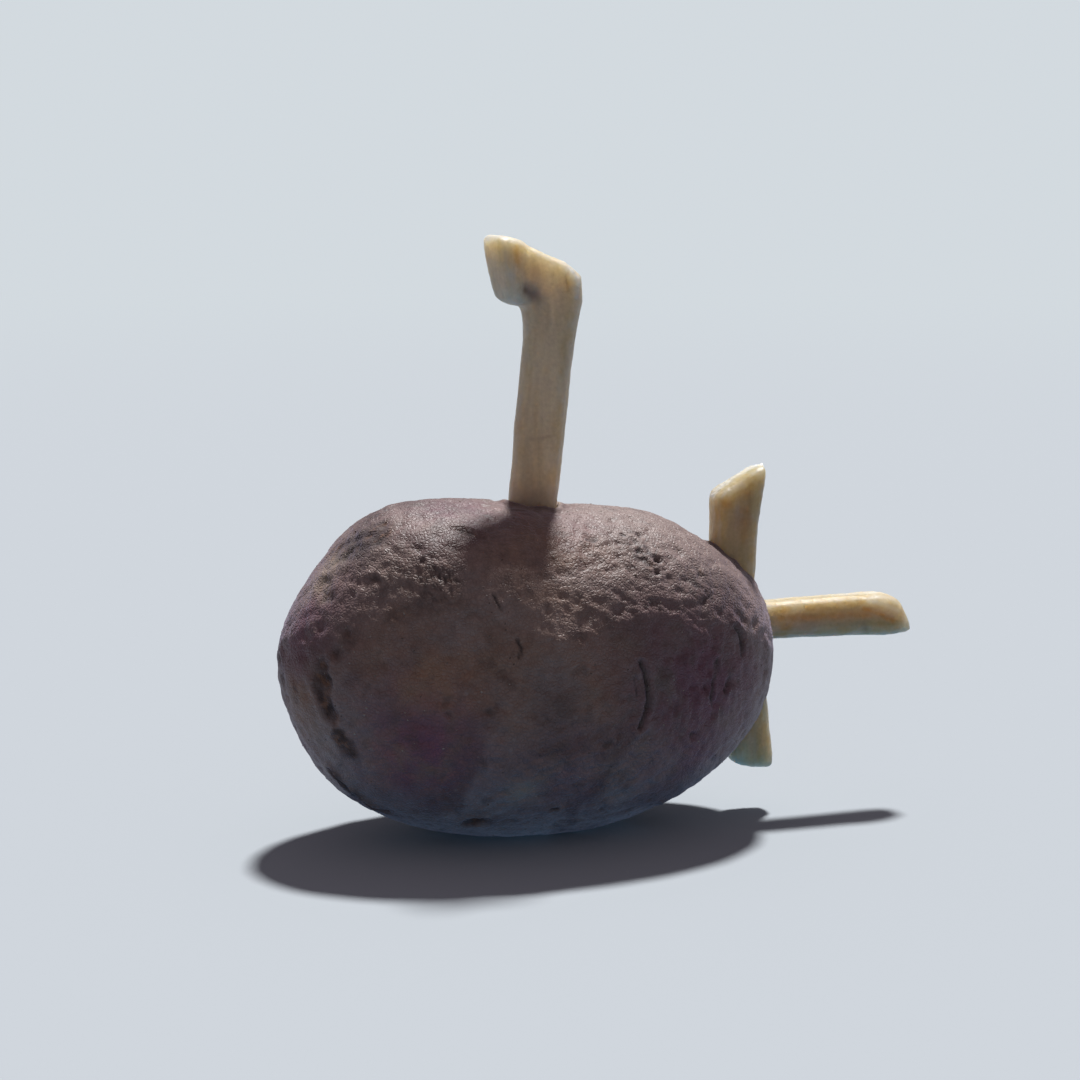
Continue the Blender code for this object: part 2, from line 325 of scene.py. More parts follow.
@dataclass
class Board:
    """A node tree, with short ways to add the nodes that the finishes need."""

    tree: bpy.types.NodeTree

    def feed(self, node: bpy.types.Node, feeds: dict[str | int, object]) -> None:
        """Links outputs to a node's inputs, or sets the inputs to plain values.

        Args:
            node: The node.
            feeds: For each input, by its name or number, an output or a value.
        """
        for name, value in feeds.items():
            if isinstance(value, bpy.types.NodeSocket):
                self.tree.links.new(value, node.inputs[name])
            else:
                node.inputs[name].default_value = value

    def add(
        self, kind: str, feeds: dict[str | int, object] | None = None, **settings: object
    ) -> bpy.types.Node:
        """Adds a node.

        Args:
            kind: The node's type name.
            feeds: What its inputs are linked or set to.
            settings: The node's own settings, which are set first.

        Returns:
            The node.
        """
        node = self.tree.nodes.new(kind)
        for name, value in settings.items():
            setattr(node, name, value)
        self.feed(node, feeds or {})
        return node

    def place(self) -> bpy.types.NodeSocket:
        """The object's own coordinates."""
        return self.add("ShaderNodeTexCoord").outputs["Object"]

    def stretched(self, scale: Triple) -> bpy.types.NodeSocket:
        """The object's own coordinates, scaled along each axis."""
        return self.add("ShaderNodeMapping", {"Vector": self.place(), "Scale": scale}).outputs["Vector"]

    def noise(
        self, scale: float, detail: float = 3.0, warp: float = 0.0, vector: object = None
    ) -> bpy.types.NodeSocket:
        """Cloudy noise.

        Args:
            scale: Clouds to the metre.
            detail: How many finer layers.
            warp: How much the noise bends itself.
            vector: Where to read it; the object's own coordinates if left out.

        Returns:
            The noise's value socket.
        """
        feeds = {"Vector": vector or self.place(), "Scale": scale, "Detail": detail, "Distortion": warp}
        return self.add("ShaderNodeTexNoise", feeds).outputs["Fac"]

    def cells(self, scale: float, feature: str) -> bpy.types.NodeSocket:
        """Distance within random cells, so many to the metre; the feature says which distance."""
        feeds = {"Vector": self.place(), "Scale": scale}
        return self.add("ShaderNodeTexVoronoi", feeds, feature=feature).outputs["Distance"]

    def tone(self, tone: Tone) -> bpy.types.NodeSocket:
        """One of the numbers painted on the mesh."""
        return self.add("ShaderNodeAttribute", attribute_name=tone.value).outputs["Fac"]

    def window(self, value: object, low: float, high: float) -> bpy.types.NodeSocket:
        """Eases a value from 0 at low to 1 at high."""
        feeds = {"Value": value, "From Min": low, "From Max": high}
        return self.add("ShaderNodeMapRange", feeds, interpolation_type="SMOOTHSTEP").outputs["Result"]

    def times(self, first: object, second: object) -> bpy.types.NodeSocket:
        """Two values multiplied."""
        return self.add("ShaderNodeMath", {0: first, 1: second}, operation="MULTIPLY").outputs[0]

    def mix(self, share: object, under: object, over: object, blend: str = "MIX") -> bpy.types.NodeSocket:
        """Lays one colour over another.

        Args:
            share: How much of the upper colour shows.
            under: The lower colour.
            over: The upper colour.
            blend: The name of the way they combine.

        Returns:
            The mixed colour's socket.
        """
        feeds = {"Factor": share, "A": rgba(under), "B": rgba(over)}
        return self.add("ShaderNodeMix", feeds, data_type="RGBA", blend_type=blend).outputs["Result"]

    def grey(self, share: object, low: float, high: float) -> bpy.types.NodeSocket:
        """A grey that runs from low, where the share is 0, to high, where it is 1."""
        return self.mix(share, (low,) * 3, (high,) * 3)

    def shade(self, colour: object, value: object, low: float, high: float) -> bpy.types.NodeSocket:
        """Multiplies a colour by low where a value is 0, and by high where it is 1."""
        return self.mix(1.0, colour, self.grey(value, low, high), "MULTIPLY")

    def bump(self, height: object, depth: float, under: object = None) -> bpy.types.NodeSocket:
        """Fine relief.

        Args:
            height: The relief's height, from 0 to 1.
            depth: How deep that is, in metres.
            under: Coarser relief that it lies on.

        Returns:
            The normal's socket.
        """
        feeds = {"Height": height, "Distance": depth}
        if under is not None:
            feeds["Normal"] = under
        return self.add("ShaderNodeBump", feeds).outputs["Normal"]


def rgba(colour: object) -> object:
    """A colour with full alpha, or a socket as it is."""
    return (*colour, 1.0) if isinstance(colour, tuple) else colour


def principled(name: str) -> tuple[bpy.types.Material, Board, bpy.types.Node]:
    """Makes a new material.

    Args:
        name: The material's name.

    Returns:
        The material, its board and its main shader.
    """
    material = bpy.data.materials.new(name)
    material.use_nodes = True
    board = Board(material.node_tree)
    return material, board, material.node_tree.nodes["Principled BSDF"]


@dataclass(frozen=True)
class SkinFinish:
    """Brown potato skin with a purple blush, cork, soil in its pits, and fine wrinkles."""

    brown: Colour = (0.178, 0.122, 0.104)
    tan: Colour = (0.265, 0.195, 0.168)
    umber: Colour = (0.070, 0.043, 0.036)
    purple: Colour = (0.165, 0.058, 0.088)
    warm: Colour = (0.285, 0.160, 0.095)
    cork: Colour = (0.060, 0.034, 0.026)
    rust: Colour = (0.190, 0.090, 0.045)
    soil: Colour = (0.020, 0.014, 0.013)
    flesh: Colour = (0.42, 0.34, 0.25)
    fleck: Colour = (0.36, 0.29, 0.26)
    shine: float = 0.38
    bloom: float = 0.26
    bloom_roughness: float = 0.4
    bloom_tint: Colour = (0.82, 0.74, 1.0)
    skin_roughness: float = 0.50
    scab_roughness: float = 0.8
    fold_depth: float = 0.15 * MM
    net_depth: float = 0.07 * MM
    pore_depth: float = 0.06 * MM
    net_scale: float = 1250.0

    def colour(self, board: Board) -> bpy.types.NodeSocket:
        """Builds the skin's colour.

        Args:
            board: The material's node board.

        Returns:
            The colour's socket.
        """
        colour = board.mix(board.window(board.noise(38, 4), 0.35, 0.68), self.brown, self.tan)
        dull = board.window(board.noise(62, 6, 0.7), 0.50, 0.66)
        colour = board.mix(board.times(dull, 0.65), colour, self.umber)
        warmth = board.times(board.tone(Tone.WARM), board.window(board.noise(90, 5), 0.3, 0.6))
        colour = board.mix(warmth, colour, self.warm)
        blush = board.times(board.tone(Tone.PURPLE), board.window(board.noise(130, 5), 0.2, 0.6))
        colour = board.mix(blush, colour, self.purple)
        smudge = board.window(board.noise(210, 5, 0.5), 0.56, 0.70)
        colour = board.mix(board.times(smudge, 0.45), colour, self.umber)
        colour = board.shade(colour, board.noise(520, 6, 0.3), 0.66, 1.36)
        net = board.window(board.cells(self.net_scale, "DISTANCE_TO_EDGE"), 0.0, 0.2)
        colour = board.shade(colour, net, 0.90, 1.03)
        dots = board.window(board.cells(300, "F1"), 0.15, 0.08)
        colour = board.mix(board.times(dots, 0.25), colour, self.fleck)
        cork = board.mix(board.window(board.noise(560, 5), 0.48, 0.68), self.cork, self.rust)
        colour = board.mix(board.tone(Tone.SCAB), colour, cork)
        colour = board.mix(board.tone(Tone.DIRT_AND_SHADE), colour, self.soil)
        return board.mix(board.tone(Tone.PALE), colour, self.flesh)

    def relief(self, board: Board) -> bpy.types.NodeSocket:
        """The skin's fine relief: folds, a net of wrinkles, and pores.

        Args:
            board: The material's node board.

        Returns:
            The normal's socket.
        """
        folds = board.noise(520, 5, 0.5, board.stretched((0.6, 0.8, 1.5)))
        normal = board.bump(folds, self.fold_depth)
        net = board.window(board.cells(self.net_scale, "DISTANCE_TO_EDGE"), 0.0, 0.25)
        normal = board.bump(net, self.net_depth, normal)
        return board.bump(board.noise(2600, 3), self.pore_depth, normal)

    def material(self) -> bpy.types.Material:
        """Builds the skin's material.

        Returns:
            The finished material.
        """
        material, board, shader = principled("potato_skin")
        rough = board.grey(board.tone(Tone.SCAB), self.skin_roughness, self.scab_roughness)
        looks = {
            "Base Color": self.colour(board),
            "Roughness": board.shade(rough, board.noise(300, 3), 0.85, 1.2),
            "Specular IOR Level": self.shine,
            "Sheen Weight": self.bloom,
            "Sheen Roughness": self.bloom_roughness,
            "Sheen Tint": rgba(self.bloom_tint),
            "Normal": self.relief(board),
        }
        board.feed(shader, looks)
        return material


@dataclass(frozen=True)
class FleckFinish:
    """The corky specks and loose scurf that stand on the skin."""

    dark: Colour = (0.10, 0.066, 0.048)
    light: Colour = (0.36, 0.29, 0.235)
    smoothest: float = 0.6
    roughest: float = 0.9
    pore_depth: float = 0.08 * MM

    def material(self) -> bpy.types.Material:
        """Builds the specks' material.

        Returns:
            The finished material.
        """
        material, board, shader = principled("skin_fleck")
        colour = board.mix(board.window(board.noise(190, 2), 0.4, 0.62), self.dark, self.light)
        colour = board.shade(colour, board.noise(1500, 3), 0.75, 1.25)
        rough = board.grey(board.noise(900, 2), self.smoothest, self.roughest)
        relief = board.bump(board.noise(2600, 3), self.pore_depth)
        board.feed(shader, {"Base Color": colour, "Roughness": rough, "Normal": relief})
        return material


@dataclass(frozen=True)
class FleshFinish:
    """Pale half-cooked potato: streaked, golden in places, with light crusted edges."""

    name: str
    grain: Triple
    body: Colour = (0.49, 0.405, 0.245)
    cream: Colour = (0.54, 0.465, 0.33)
    golden: Colour = (0.50, 0.33, 0.12)
    olive: Colour = (0.41, 0.36, 0.18)
    blush: Colour = (0.46, 0.35, 0.26)
    crust: Colour = (0.60, 0.57, 0.50)
    # Stains, and painted shade where the periscope bends and where it meets the potato
    stain_and_shade: Colour = (0.26, 0.18, 0.15)
    translucency: float = 1.0
    light_depth: float = 14.0 * MM
    light_reach: Colour = (1.0, 0.9, 0.72)
    light_onward: float = 0.6
    shine: float = 0.35
    oil: float = 0.06
    oil_roughness: float = 0.3
    smoothest: float = 0.34
    roughest: float = 0.56
    streak_depth: float = 0.36 * MM
    blister_depth: float = 0.08 * MM
    pore_depth: float = 0.05 * MM

    def colour(self, board: Board) -> bpy.types.NodeSocket:
        """Builds the flesh's colour.

        Args:
            board: The material's node board.

        Returns:
            The colour's socket.
        """
        streak = board.window(board.noise(260, 4, 0.2, board.stretched(self.grain)), 0.36, 0.66)
        colour = board.mix(streak, self.body, self.cream)
        greenish = board.window(board.noise(170, 3, 0.3, board.stretched(self.grain)), 0.54, 0.70)
        colour = board.mix(board.times(greenish, 0.6), colour, self.olive)
        pinkish = board.window(board.noise(95, 2), 0.55, 0.72)
        colour = board.mix(board.times(pinkish, 0.5), colour, self.blush)
        warm = board.times(board.tone(Tone.GOLD), board.window(board.noise(330, 4), 0.25, 0.6))
        colour = board.mix(warm, colour, self.golden)
        colour = board.shade(colour, board.noise(420, 5, 0.3, board.stretched(self.grain)), 0.74, 1.22)
        colour = board.shade(colour, board.noise(1300, 4), 0.82, 1.16)
        colour = board.mix(board.tone(Tone.PALE), colour, self.crust)
        # Darkened by stains, and by painted shade in the periscope's crease and round its foot
        return board.mix(board.tone(Tone.DIRT_AND_SHADE), colour, self.stain_and_shade)

    def relief(self, board: Board) -> bpy.types.NodeSocket:
        """The flesh's fine relief: streaks along the grain, blisters, and pores.

        Args:
            board: The material's node board.

        Returns:
            The normal's socket.
        """
        normal = board.bump(board.noise(420, 4, 0.2, board.stretched(self.grain)), self.streak_depth)
        blister = board.window(board.cells(850, "F1"), 0.05, 0.5)
        normal = board.bump(blister, self.blister_depth, normal)
        return board.bump(board.noise(2400, 3), self.pore_depth, normal)

    def material(self) -> bpy.types.Material:
        """Builds the flesh's material.

        Returns:
            The finished material.
        """
        material, board, shader = principled(self.name)
        looks = {
            "Base Color": self.colour(board),
            "Roughness": board.grey(board.noise(500, 3), self.smoothest, self.roughest),
            "Specular IOR Level": self.shine,
            "Subsurface Weight": self.translucency,
            "Subsurface Radius": self.light_reach,
            "Subsurface Scale": self.light_depth,
            "Subsurface Anisotropy": self.light_onward,
            "Coat Weight": self.oil,
            "Coat Roughness": self.oil_roughness,
            "Normal": self.relief(board),
        }
        board.feed(shader, looks)
        return material


@dataclass(frozen=True)
class TableFinish:
    """A plain pale table top that fades into the backdrop far away."""

    paint: Colour = (0.385, 0.415, 0.440)
    far: Colour = (0.65, 0.70, 0.74)
    fade_from: float = 0.4
    fade_to: float = 2.5
    roughness: float = 0.9

    def material(self) -> bpy.types.Material:
        """Builds the table top's material.

        Returns:
            The finished material.
        """
        material, board, shader = principled("table_top")
        length = board.add("ShaderNodeVectorMath", {0: board.place()}, operation="LENGTH")
        away = board.window(length.outputs["Value"], self.fade_from, self.fade_to)
        looks = {
            "Base Color": board.mix(away, self.paint, BLACK),
            "Emission Color": board.mix(away, BLACK, self.far),
            "Emission Strength": 1.0,
            "Roughness": self.roughness,
            "Specular IOR Level": 0.0,
        }
        board.feed(shader, looks)
        return material


# Marks on the skin: places are degrees round it and up it, lengths are millimetres


@dataclass
class SkinSheet:
    """The skin while it is sculpted: where each vertex starts, how far it moves, and its tones."""

    shape: "SkinShape"
    way: np.ndarray
    skin: np.ndarray
    rise: np.ndarray
    tones: dict[Tone, np.ndarray]

    def spot(self, bearing: float, lift: float) -> np.ndarray:
        """The point of the skin in a direction from the middle.

        Args:
            bearing: Degrees round the potato from above: 0 is the tail and 90 the far side.
            lift: Degrees above the middle.

        Returns:
            Its place.
        """
        turn, rise = math.radians(bearing), math.radians(lift)
        flat = math.cos(rise)
        way = np.array([(flat * math.cos(turn), flat * math.sin(turn), math.sin(rise))])
        return self.shape.middle + way[0] * self.shape.radius(way)[0]

    def away(self, bearing: float, lift: float) -> np.ndarray:
        """Each vertex's distance from the point of the skin in a direction."""
        return np.linalg.norm(self.skin - self.spot(bearing, lift), axis=1)

    def deepen(self, tone: Tone, amount: np.ndarray) -> None:
        """Raises a tone to an amount, wherever it is lower."""
        self.tones[tone] = np.maximum(self.tones[tone], amount)

    def across(self, centre: np.ndarray, turn: float) -> tuple[np.ndarray, np.ndarray]:
        """Each vertex's place on the plane that touches the skin at a centre.

        Args:
            centre: The touching point.
            turn: Degrees to turn the plane's own axes.

        Returns:
            How far each vertex is along the plane's two axes; far away for the other side's.
        """
        out = centre - self.shape.middle
        out /= np.linalg.norm(out)
        east = np.cross((0.0, 0.0, 1.0), out)
        east /= np.linalg.norm(east)
        north = np.cross(out, east)
        cosine, sine = math.cos(math.radians(turn)), math.sin(math.radians(turn))
        away = self.skin - centre
        hidden = np.where(self.way @ out > 0.5, 0.0, 1.0)
        first = away @ (cosine * east + sine * north) + hidden
        second = away @ (cosine * north - sine * east) + hidden
        return first, second


@dataclass(frozen=True)
class Eye:
    """A bud's hollow with a brow over it."""

    bearing: float
    lift: float
    size: float
    depth: float
    turn: float = 0.0

    def press(self, sheet: SkinSheet) -> None:
        """Sculpts and tints the eye.

        Args:
            sheet: The skin, which is changed.
        """
        size, depth = self.size * MM, self.depth * MM
        along, over = sheet.across(sheet.spot(self.bearing, self.lift), self.turn)
        along = along + 0.25 * size * Grain(1.6 * size, 41).at(sheet.skin)
        reach = np.hypot(along / size, over / (0.62 * size))
        brow = hill(reach - 1.35, 0.38) * smooth_step(over / size, -0.3, 0.5)
        sheet.rise += depth * (0.6 * brow - hill(reach, 0.85) + 0.45 * hill(reach, 0.24))
        sheet.deepen(Tone.SCAB, 0.75 * hill(reach, 0.55))
        sheet.deepen(Tone.DIRT_AND_SHADE, 0.7 * hill(reach - 0.55, 0.2) * smooth_step(over, -0.5 * size, 0.0))


@dataclass(frozen=True)
class Pit:
    """A small hole or dent, dark inside."""

    bearing: float
    lift: float
    radius: float
    depth: float
    dark: float = 0.8

    def press(self, sheet: SkinSheet) -> None:
        """Sculpts and tints the pit.

        Args:
            sheet: The skin, which is changed.
        """
        radius, depth = self.radius * MM, self.depth * MM
        away = sheet.away(self.bearing, self.lift)
        away = away + 0.45 * radius * Grain(1.2 * radius, 57).at(sheet.skin)
        sheet.rise += depth * (0.3 * hill(away - 1.7 * radius, 0.7 * radius))
        sheet.rise -= depth * hill(away, radius)
        sheet.deepen(Tone.DIRT_AND_SHADE, self.dark * hill(away, 0.8 * radius))


@dataclass(frozen=True)
class Scab:
    """A rough corky patch along a line, sunk or raised."""

    line: tuple[tuple[float, float], ...]
    width: float
    height: float
    dark: float = 0.95
    soil: float = 0.5
    roughness: float = 0.35

    def press(self, sheet: SkinSheet) -> None:
        """Sculpts and tints the patch.

        Args:
            sheet: The skin, which is changed.
        """
        width, height, roughness = self.width * MM, self.height * MM, self.roughness * MM
        path = np.array([sheet.spot(*place) for place in self.line])
        away = distance_to_path(sheet.skin, path)
        ragged = away + width * 0.75 * Grain(1.3 * width, 71, 4).at(sheet.skin)
        inside = smooth_step(ragged, 1.2 * width, 0.35 * width)
        lumps = Grain(1.7 * MM, 73, 2).at(sheet.skin)
        sheet.rise += inside * (height + roughness * lumps)
        sheet.rise += 0.25 * abs(height) * hill(ragged - 1.15 * width, 0.3 * width)
        sheet.deepen(Tone.SCAB, self.dark * inside * (0.65 + 0.35 * smooth_step(lumps, 0.5, -0.3)))
        sheet.deepen(Tone.DIRT_AND_SHADE, self.soil * inside * smooth_step(lumps, 0.0, -0.6))


@dataclass(frozen=True)
class Crack:
    """A split in the skin: a narrow wandering groove between two lips."""

    line: tuple[tuple[float, float], ...]
    width: float
    depth: float
    wander: float = 0.5

    def press(self, sheet: SkinSheet) -> None:
        """Sculpts and tints the crack.

        Args:
            sheet: The skin, which is changed.
        """
        width, depth, wander = self.width * MM, self.depth * MM, self.wander * MM
        path = np.array([sheet.spot(*place) for place in self.line])
        sway = np.column_stack([Grain(3.2 * MM, seed, 2).at(sheet.skin) for seed in (84, 85, 86)])
        sway -= (sway * sheet.way).sum(1)[:, None] * sheet.way
        away = distance_to_path(sheet.skin + wander * sway, path)
        ragged = away + 0.4 * width * Grain(2.2 * MM, 83, 2).at(sheet.skin)
        sheet.rise -= depth * hill(ragged, width)
        sheet.rise += 0.35 * depth * hill(ragged - 2.3 * width, width)
        sheet.deepen(Tone.DIRT_AND_SHADE, hill(ragged, width))


@dataclass(frozen=True)
class Blush:
    """A broad patch where the skin turns purple, a warmer tan, or darker."""

    bearing: float
    lift: float
    spread: float
    strength: float
    tone: Tone = Tone.PURPLE

    def press(self, sheet: SkinSheet) -> None:
        """Tints the patch.

        Args:
            sheet: The skin, which is changed.
        """
        spread = self.spread * MM
        away = sheet.away(self.bearing, self.lift)
        away = away + 0.5 * spread * Grain(0.8 * spread, 91, 3).at(sheet.skin)
        sheet.deepen(self.tone, self.strength * hill(away, spread))


@dataclass(frozen=True)
class Wrinkles:
    """A patch of fine wrinkles that run one way, where the skin has lost water."""

    bearing: float
    lift: float
    spread: float
    depth: float
    turn: float = 90.0
    pitch: float = 1.7
    run: float = 4.5

    def press(self, sheet: SkinSheet) -> None:
        """Sculpts and tints the patch.

        Args:
            sheet: The skin, which is changed.
        """
        spread, depth, pitch = self.spread * MM, self.depth * MM, self.pitch * MM
        along, over = sheet.across(sheet.spot(self.bearing, self.lift), self.turn)
        here = hill(np.hypot(along, over), spread)
        plane = np.column_stack([along / self.run, over, np.zeros(len(along))])
        crests = Grain(pitch, 111, 2).ridges(plane)
        sheet.rise -= depth * here * smooth_step(crests, 0.0, 0.9)
        sheet.deepen(Tone.DIRT_AND_SHADE, 0.25 * here * smooth_step(crests, 0.55, 0.95))


@dataclass(frozen=True)
class Crazing:
    """A patch of small dark cracks and crumbs, where the skin is weathered."""

    bearing: float
    lift: float
    spread: float
    depth: float

    def press(self, sheet: SkinSheet) -> None:
        """Sculpts and tints the patch.

        Args:
            sheet: The skin, which is changed.
        """
        spread, depth = self.spread * MM, self.depth * MM
        away = sheet.away(self.bearing, self.lift)
        here = hill(away + 0.4 * spread * Grain(spread, 97).at(sheet.skin), spread)
        crests = smooth_step(Grain(2.2 * MM, 101, 2).ridges(sheet.skin), 0.35, 0.9)
        sheet.rise -= depth * here * crests
        sheet.deepen(Tone.SCAB, 0.55 * here * smooth_step(Grain(3.0 * MM, 103, 3).at(sheet.skin), 0.0, 0.4))
        sheet.deepen(Tone.DIRT_AND_SHADE, 0.75 * here * crests)


def several(kind: type, *rows: tuple, **shared: object) -> tuple:
    """Several marks of one kind.

    Args:
        kind: The marks' class.
        rows: Each mark's own values, in the order of the class's fields.
        shared: Values that they all take.

    Returns:
        The marks.
    """
    return tuple(kind(*row, **shared) for row in rows)


NEAR_MARKS = (
    *several(
        Blush,
        (-142, -15, 12, 1.0), (-48, -6, 18, 0.9), (-172, 14, 11, 0.8), (-150, 62, 13, 0.5),
        (-80, 66, 10, 0.3), (-95, -30, 12, 0.4),
    ),
    *several(
        Blush,
        (-138, 6, 14, 1.0), (-112, 6, 10, 0.6), (-174, -4, 9, 1.0), (-150, -24, 9, 0.8),
        (-86, 2, 10, 0.7),
        tone=Tone.WARM,
    ),
    # Broad darker patches on the near side and by the bow
    *several(Blush, (-62, -6, 15, 0.34), (-96, -8, 12, 0.22), (-166, 12, 8, 0.25), tone=Tone.DIRT_AND_SHADE),
    Blush(-104, 44, 14, 0.6, tone=Tone.WARM),
    *several(
        Wrinkles,
        (-45, -3, 12, 0.42), (-70, -24, 11, 0.3, 40), (-100, -33, 11, 0.22, 10),
        (-60, 22, 9, 0.12, 0, 1.2), (-128, 52, 9, 0.1, 10, 1.2),
    ),
    *several(Pit, (-104, 17, 4.5, -0.45, 0.0), (-92, 14, 4.0, -0.35, 0.0), (-113, 22, 4.0, 0.4, 0.0)),
    Blush(-175, 25, 5.0, 0.55, tone=Tone.PALE),
    Blush(-171, 35, 5.0, 0.75, tone=Tone.DIRT_AND_SHADE),
    *several(
        Scab,
        (((-177, 31), (-172, 35), (-166, 39)), 4.0, -0.25, 1.0, 1.0),
        (((-174, 24), (-169, 21)), 1.9, -0.4, 0.8, 0.8),
        (((-163, 5), (-163.5, 0), (-162, -6)), 2.3, -0.5, 1.0, 1.0),
        (((-161, -11), (-160, -15)), 2.3, 0.2, 1.0, 0.9),
        (((-137, -48), (-130, -48)), 2.0, -0.6, 1.0, 1.0), (((-158, 13),), 2.2, -0.1, 0.5, 0.3),
        (((-160, 9),), 1.6, -0.1, 0.5, 0.3), (((-149, 20), (-143, 24)), 2.0, 0.05, 0.35, 0.3),
        (((-172, -1),), 0.9, 0.1, 0.7, 0.0),
        (((-169, -22), (-167, -28), (-165, -34)), 1.4, 0.35, 0.95, 0.7),
    ),
    Crack(((-170, -21), (-168, -26), (-167, -32), (-163, -37)), 0.45, 0.7),
    *several(Eye, (-139, 50, 1.9, 0.5, 10), (-69, 55, 1.8, 0.5, 160), (-157, 28, 1.5, 0.4, 0)),
    *several(
        Pit,
        (-146, 36, 0.6, 0.45), (-50, 52, 0.6, 0.5), (-43, 49, 0.7, 0.5), (-52, 44, 0.7, 0.5),
        (-48, 39, 0.8, 0.6), (-52, 35, 0.7, 0.5), (-59, 47, 0.5, 0.4),
    ),
    *several(Crazing, (-139, 31, 5.5, 0.24), (-37, 26, 6.0, 0.2), (-50, 43, 5.0, 0.16)),
    *several(
        Crack,
        (((-68, 8), (-66.6, 4), (-65.8, 0), (-65.6, -4), (-66.2, -9), (-68, -15)), 0.5, 0.8),
        (((-71, 3), (-70, -4)), 0.28, 0.2), (((-113, 18), (-112, 15), (-113, 12)), 0.35, 0.35),
        (((-33, 12), (-31, 8), (-32, 4)), 0.5, 0.65),
        (((-41, 4), (-43, -2), (-42, -9)), 0.4, 0.35, 0.9), (((-36, -1), (-38, -5)), 0.35, 0.3, 0.9),
        (((-122, 31), (-119, 27)), 0.3, 0.35), (((-99, -47), (-95, -48)), 0.35, 0.45),
    ),
    *several(
        Pit,
        (-159, 14, 0.9, 0.45, 0.7), (-160, 9, 1.0, 0.45, 0.7), (-150, 8, 1.6, 0.3, 0.25),
        (-141, 9, 1.5, 0.3, 0.25), (-133, -5, 0.7, 0.4, 0.6), (-122, -5, 0.7, 0.4, 0.6),
        (-134, -47, 1.3, 0.9, 1.0), (-80, 1, 1.5, 0.35, 0.25), (-47, -18, 0.9, 0.7, 0.9),
        (-45, -3, 1.0, 0.5, 0.6), (-37, -3, 1.1, 0.5, 0.6), (-33, -45, 1.1, -0.5, 0.2),
    ),
    Blush(-112, -35, 3.5, 0.45, tone=Tone.PALE),
    Scab(((-112, -35),), 1.4, 0.3, 0.35, 0.5),
    Eye(-80, -20, 1.6, 0.4, 200),
)

FAR_MARKS = (
    *several(Blush, (55, -5, 18, 0.9), (120, 22, 15, 0.7), (100, -38, 14, 0.6), (170, -18, 12, 0.7)),
    *several(Blush, (90, 10, 14, 0.9), (140, -10, 12, 0.8), (40, 38, 12, 0.6), tone=Tone.WARM),
    *several(
        Wrinkles,
        (75, -20, 11, 0.25, 80), (125, 8, 11, 0.25, 100), (60, 42, 10, 0.2, 10), (150, 40, 9, 0.2, 30),
        (165, -30, 9, 0.25, 60),
    ),
    *several(
        Eye,
        (62, 30, 2.2, 0.6, 30), (128, 44, 2.0, 0.55, -20), (150, 4, 2.3, 0.65, 10),
        (95, 2, 1.8, 0.5, 180), (110, -28, 2.0, 0.5, 150), (38, -14, 1.9, 0.5, 20),
        (178, 4, 2.0, 0.5, 0), (25, 52, 1.7, 0.45, 0),
    ),
    *several(
        Scab,
        (((78, 18), (84, 14), (88, 15)), 1.6, -0.4), (((135, -12), (139, -16)), 2.0, 0.25, 0.95, 0.7),
        (((48, 8),), 1.5, 0.2, 0.7), (((160, 34), (166, 30)), 1.3, -0.35),
        (((65, -42), (75, -45)), 1.5, 0.25),
    ),
    *several(
        Crazing,
        (100, 36, 7.0, 0.3), (60, -12, 6.0, 0.3), (150, -35, 6.0, 0.3), (178, 45, 5.0, 0.25),
    ),
    *several(
        Crack,
        (((108, 12), (112, 4), (110, -6), (113, -13)), 0.4, 0.6),
        (((70, 2), (67, -6), (68, -12)), 0.35, 0.45), (((140, 24), (146, 20)), 0.35, 0.45),
        (((35, 22), (42, 20), (47, 22)), 0.35, 0.4),
    ),
    *several(
        Pit,
        (85, -15, 0.9, 0.6), (125, -4, 0.8, 0.5), (52, 45, 0.7, 0.5), (145, 55, 0.6, 0.4),
        (168, 14, 0.7, 0.5), (30, 5, 0.8, 0.5), (92, 55, 0.7, 0.5),
    ),
)


# The potato


@dataclass
class SkinShape:
    """The potato's smooth shape: its radius in every direction, as a sum of waves round it."""

    middle: np.ndarray
    waves: int
    share: np.ndarray

    @staticmethod
    def wave_values(way: np.ndarray, waves: int) -> np.ndarray:
        """Every wave's value in each direction.

        Args:
            way: Unit vectors, an (n, 3) array.
            waves: The highest number of waves round the ball.

        Returns:
            An array with a row for each direction and a column for each wave.
        """
        flat = chebvander2d(way[:, 0], way[:, 1], (waves, waves))
        order = np.add.outer(np.arange(waves + 1), np.arange(waves + 1)).ravel()
        low, high = flat[:, order <= waves], flat[:, order < waves]
        return np.hstack([low, high * way[:, 2:3]])

    @classmethod
    def fitted(cls, places: np.ndarray, middle: np.ndarray, waves: int) -> "SkinShape":
        """Fits the waves to a solid's vertices, and leaves out its socket walls.

        Args:
            places: The solid's vertices.
            middle: The point that the radii run from.
            waves: The highest number of waves round the ball.

        Returns:
            The fitted shape.
        """
        away = places - middle
        radius = np.linalg.norm(away, axis=1)
        way = away / radius[:, None]
        columns = cls.wave_values(way, waves)
        steady = 1e-3 * np.eye(columns.shape[1])
        keep = np.ones(len(radius), bool)
        for slack in WALL_SLACKS:
            rows = np.vstack([columns[keep], steady])
            wanted = np.concatenate([radius[keep], np.zeros(len(steady))])
            share = np.linalg.lstsq(rows, wanted, rcond=None)[0]
            keep = columns @ share - radius < slack
        return cls(middle, waves, share)

    def radius(self, way: np.ndarray) -> np.ndarray:
        """The skin's distance from the middle in each direction."""
        pieces = np.array_split(way, max(1, len(way) // 8000))
        return np.concatenate([self.wave_values(piece, self.waves) @ self.share for piece in pieces])


